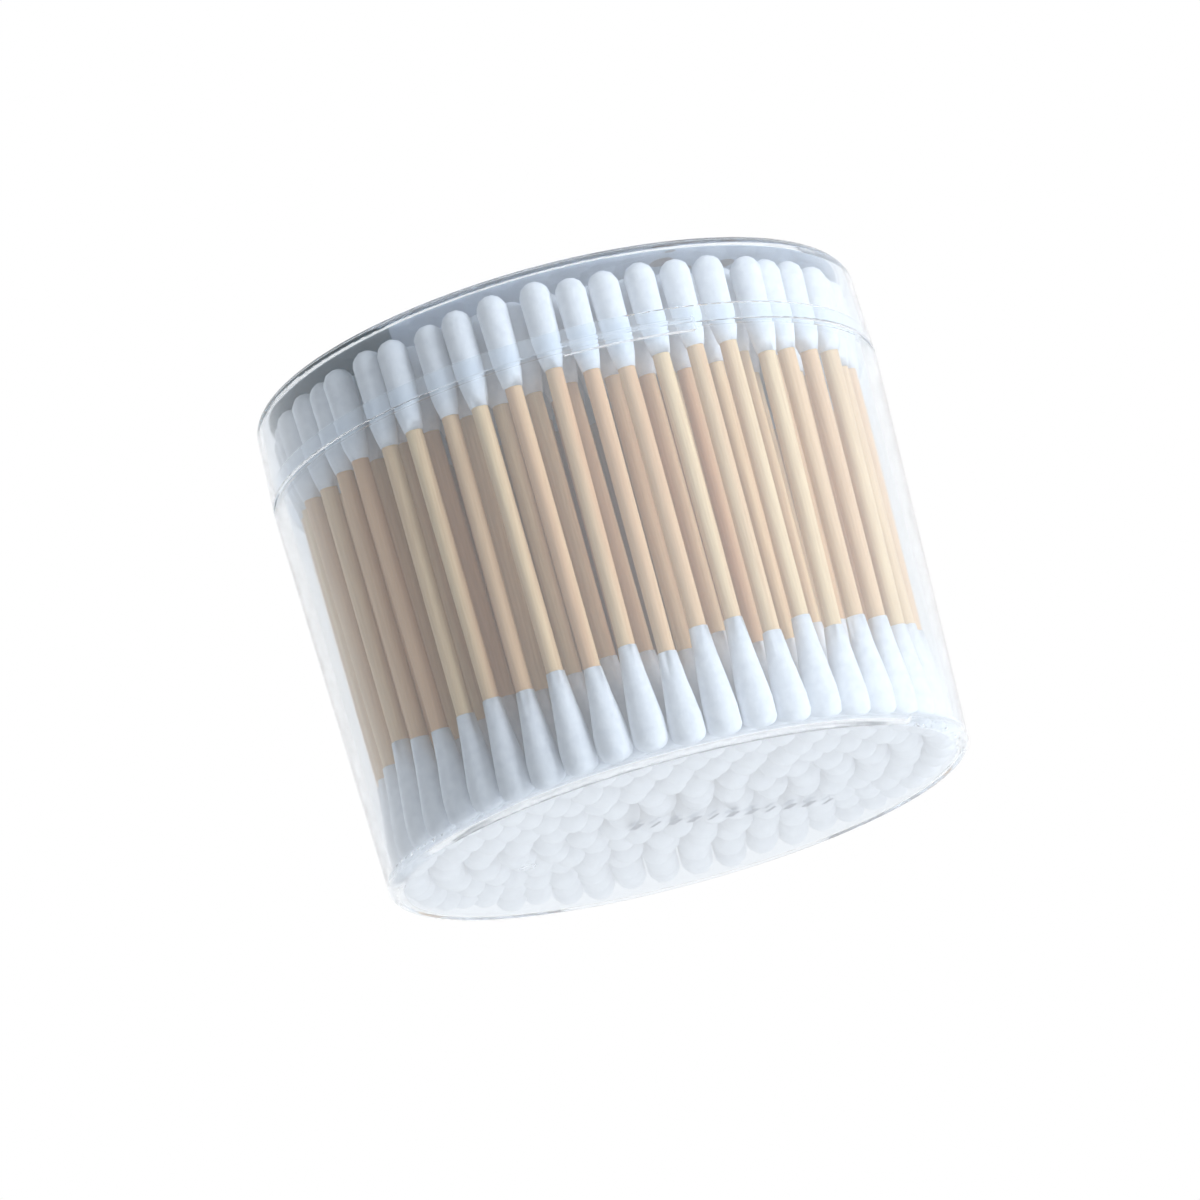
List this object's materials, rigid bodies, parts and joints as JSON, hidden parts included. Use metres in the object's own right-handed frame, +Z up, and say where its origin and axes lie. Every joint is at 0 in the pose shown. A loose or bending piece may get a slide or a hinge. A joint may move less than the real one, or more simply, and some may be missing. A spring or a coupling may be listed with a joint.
{
  "type": "cotton swab tub",
  "caption": "Round clear plastic tub packed with upright double-ended cotton swabs on wooden sticks, under a clear lift-off lid with a tab on its rim.",
  "frame": {"origin": "centre of the tub's foot, on the surface it stands on", "axes": "+Z up along the tub's axis; the lid's lift tab is at -Y"},
  "size_m": [0.098, 0.0996, 0.079],
  "materials": {
    "clear_tub": "clear moulded polystyrene, glossy",
    "clear_lid": "clear moulded polystyrene, glossy",
    "label_film": "printed film, satin",
    "wood": "bare pale wood, fine straight grain",
    "cotton": "wound white cotton"
  },
  "bodies": {
    "tub": {"tub": "clear_tub", "swab_sticks_ring_1": "wood", "swab_sticks_ring_2": "wood", "swab_sticks_ring_3": "wood", "swab_sticks_ring_4": "wood", "swab_sticks_ring_5": "wood", "swab_sticks_ring_6": "wood", "swab_sticks_ring_7": "wood", "swab_sticks_ring_8": "wood", "lower_tips_ring_1": "cotton", "lower_tips_ring_2": "cotton", "lower_tips_ring_3": "cotton", "lower_tips_ring_4": "cotton", "lower_tips_ring_5": "cotton", "lower_tips_ring_6": "cotton", "lower_tips_ring_7": "cotton", "lower_tips_ring_8": "cotton", "upper_tips_ring_1": "cotton", "upper_tips_ring_2": "cotton", "upper_tips_ring_3": "cotton", "upper_tips_ring_4": "cotton", "upper_tips_ring_5": "cotton", "upper_tips_ring_6": "cotton", "upper_tips_ring_7": "cotton", "upper_tips_ring_8": "cotton"},
    "lid": {"lid": "clear_lid", "lid_label": "label_film"}
  },
  "joints": [
    {"name": "lid_lift", "type": "slide", "parent": "tub", "child": "lid", "axis": [0, 0, 1], "range_m": [0, 0.03]}
  ]
}
